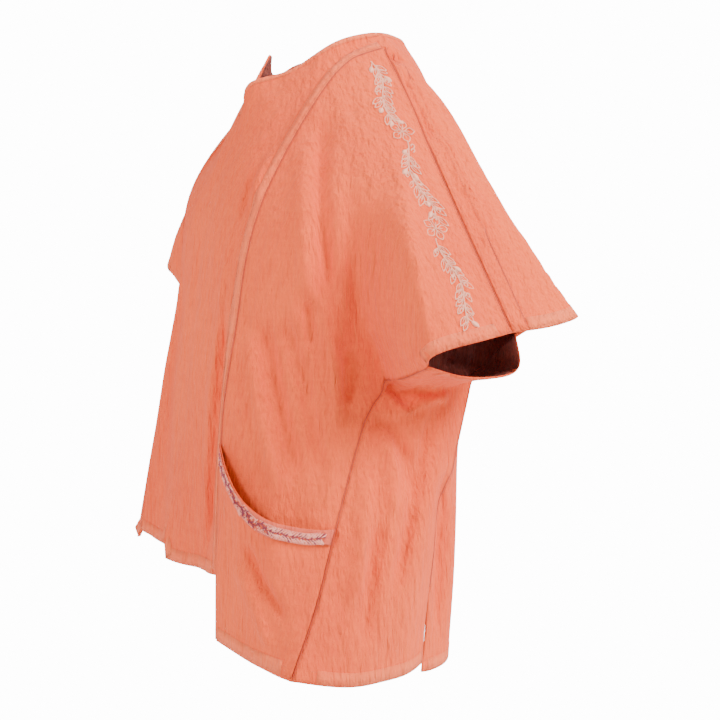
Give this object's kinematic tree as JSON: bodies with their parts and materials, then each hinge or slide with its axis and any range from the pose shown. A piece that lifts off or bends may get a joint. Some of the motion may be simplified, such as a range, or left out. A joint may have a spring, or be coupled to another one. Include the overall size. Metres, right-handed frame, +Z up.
{
  "type": "smock top",
  "caption": "Loose crinkled-cotton smock top with deep dolman sleeves, notched round neck, uneven hem with side slits, and an embroidered curved pocket.",
  "frame": {"origin": "between the two neck points, at the top of the shoulders, where the wearer holds it up", "axes": "+Z up, the front faces -Y, the wearer's left is +X"},
  "size_m": [0.7054, 0.3898, 0.7709],
  "materials": {
    "centre_front": "crinkled cotton gauze",
    "back": "crinkled cotton gauze",
    "side_front_left": "crinkled cotton gauze",
    "side_front_right": "crinkled cotton gauze",
    "side_panel_left": "crinkled cotton gauze",
    "side_panel_right": "crinkled cotton gauze",
    "pocket_left": "crinkled cotton gauze",
    "pocket_band_left": "embroidered cotton",
    "overarm_band_left": "crinkled cotton gauze",
    "overarm_band_right": "crinkled cotton gauze"
  },
  "bodies": {
    "root": {"centre_front": "centre_front", "back": "back", "side_front_left": "side_front_left", "side_front_right": "side_front_right", "side_panel_left": "side_panel_left", "side_panel_right": "side_panel_right", "pocket_left": "pocket_left", "pocket_band_left": "pocket_band_left", "overarm_band_left": "overarm_band_left", "overarm_band_right": "overarm_band_right"}
  },
  "joints": []
}
